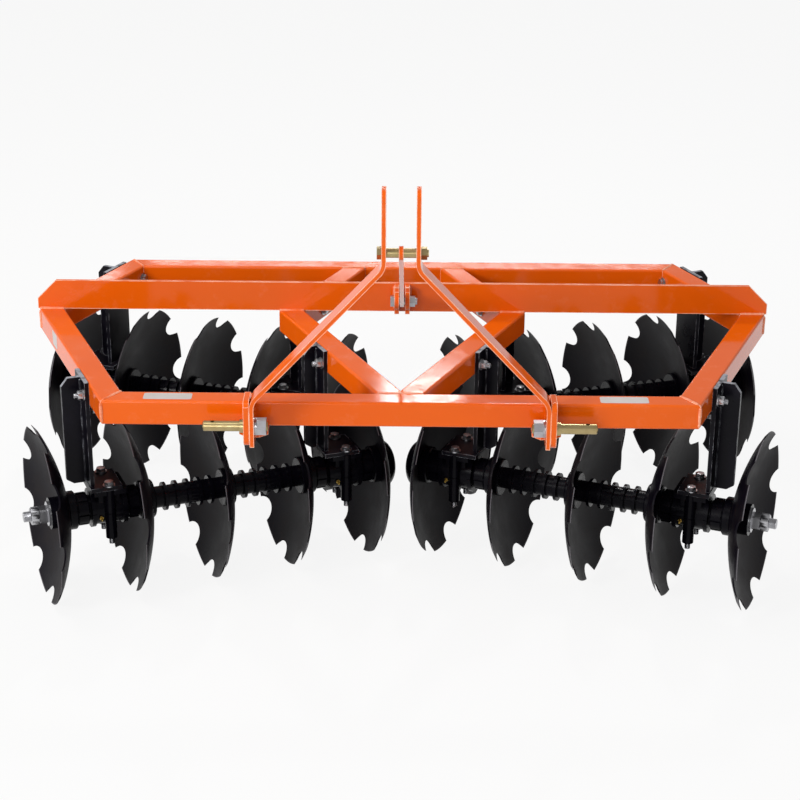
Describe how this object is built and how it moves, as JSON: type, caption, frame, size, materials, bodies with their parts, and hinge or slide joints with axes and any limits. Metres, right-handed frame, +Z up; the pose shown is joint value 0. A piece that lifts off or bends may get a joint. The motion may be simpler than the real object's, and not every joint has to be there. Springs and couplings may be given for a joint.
{
  "type": "mounted tandem disc harrow",
  "caption": "Mounted tandem disc harrow: notched dished discs in angled front and rear gangs that roll under an X-shaped frame of square tube with a three-point hitch mast",
  "frame": {"origin": "on the ground, midway along the length and width of the whole harrow's box", "axes": "+X to the harrow's left-right as seen from the tractor with right in the picture's right, +Y to the rear of the harrow, +Z up"},
  "size_m": [2.318, 1.5203, 1.257],
  "materials": {
    "orange_paint": "glossy orange enamel on welded tube and plate",
    "black_paint": "satin black paint on steel plate",
    "black_casting": "satin black paint on rough cast iron",
    "disc_steel": "dark satin paint over pressed boron steel",
    "yellow_zinc": "yellow chromated zinc plating",
    "bright_zinc": "bright zinc plating"
  },
  "bodies": {
    "frame": {"front_bar": "orange_paint", "rear_bar": "orange_paint", "front_side_bar_left": "orange_paint", "rear_side_bar_left": "orange_paint", "front_inner_bar_left": "orange_paint", "rear_inner_bar_left": "orange_paint", "hitch_lug_left": "orange_paint", "mast_strut_left": "orange_paint", "hitch_pin_left": "yellow_zinc", "front_side_bar_right": "orange_paint", "rear_side_bar_right": "orange_paint", "front_inner_bar_right": "orange_paint", "rear_inner_bar_right": "orange_paint", "hitch_lug_right": "orange_paint", "mast_strut_right": "orange_paint", "hitch_pin_right": "yellow_zinc", "pin_nuts": "bright_zinc", "middle_beam": "orange_paint", "mast_bolt": "yellow_zinc", "top_brace": "orange_paint", "brace_clevis": "orange_paint", "clevis_bolt": "bright_zinc", "hanger_front_outer_left": "black_paint", "housing_front_outer_left": "black_casting", "hanger_front_outer_right": "black_paint", "housing_front_outer_right": "black_casting", "hanger_front_inner_left": "black_paint", "housing_front_inner_left": "black_casting", "hanger_front_inner_right": "black_paint", "housing_front_inner_right": "black_casting", "hanger_rear_outer_left": "black_paint", "housing_rear_outer_left": "black_casting", "hanger_rear_outer_right": "black_paint", "housing_rear_outer_right": "black_casting", "hanger_rear_inner_left": "black_paint", "housing_rear_inner_left": "black_casting", "hanger_rear_inner_right": "black_paint", "housing_rear_inner_right": "black_casting"},
    "gang_front_left": {"discs_front_left": "disc_steel", "spools_front_left": "black_casting", "end_bell_front_left": "black_casting", "gang_bar_front_left": "bright_zinc"},
    "gang_front_right": {"discs_front_right": "disc_steel", "spools_front_right": "black_casting", "end_bell_front_right": "black_casting", "gang_bar_front_right": "bright_zinc"},
    "gang_rear_left": {"discs_rear_left": "disc_steel", "spools_rear_left": "black_casting", "end_bell_rear_left": "black_casting", "gang_bar_rear_left": "bright_zinc"},
    "gang_rear_right": {"discs_rear_right": "disc_steel", "spools_rear_right": "black_casting", "end_bell_rear_right": "black_casting", "gang_bar_rear_right": "bright_zinc"}
  },
  "joints": [
    {"name": "front_left_gang_roll", "type": "hinge", "parent": "frame", "child": "gang_front_left", "pos_m": [-1.004, -0.532, 0.255], "axis": [0.9285, 0.3714, 0], "continuous": true},
    {"name": "front_right_gang_roll", "type": "hinge", "parent": "frame", "child": "gang_front_right", "pos_m": [1.004, -0.532, 0.255], "axis": [0.9285, -0.3714, 0], "continuous": true},
    {"name": "rear_left_gang_roll", "type": "hinge", "parent": "frame", "child": "gang_rear_left", "pos_m": [-1.043, 0.509, 0.255], "axis": [0.95, -0.3123, 0], "continuous": true},
    {"name": "rear_right_gang_roll", "type": "hinge", "parent": "frame", "child": "gang_rear_right", "pos_m": [1.043, 0.509, 0.255], "axis": [0.95, 0.3123, 0], "continuous": true}
  ]
}
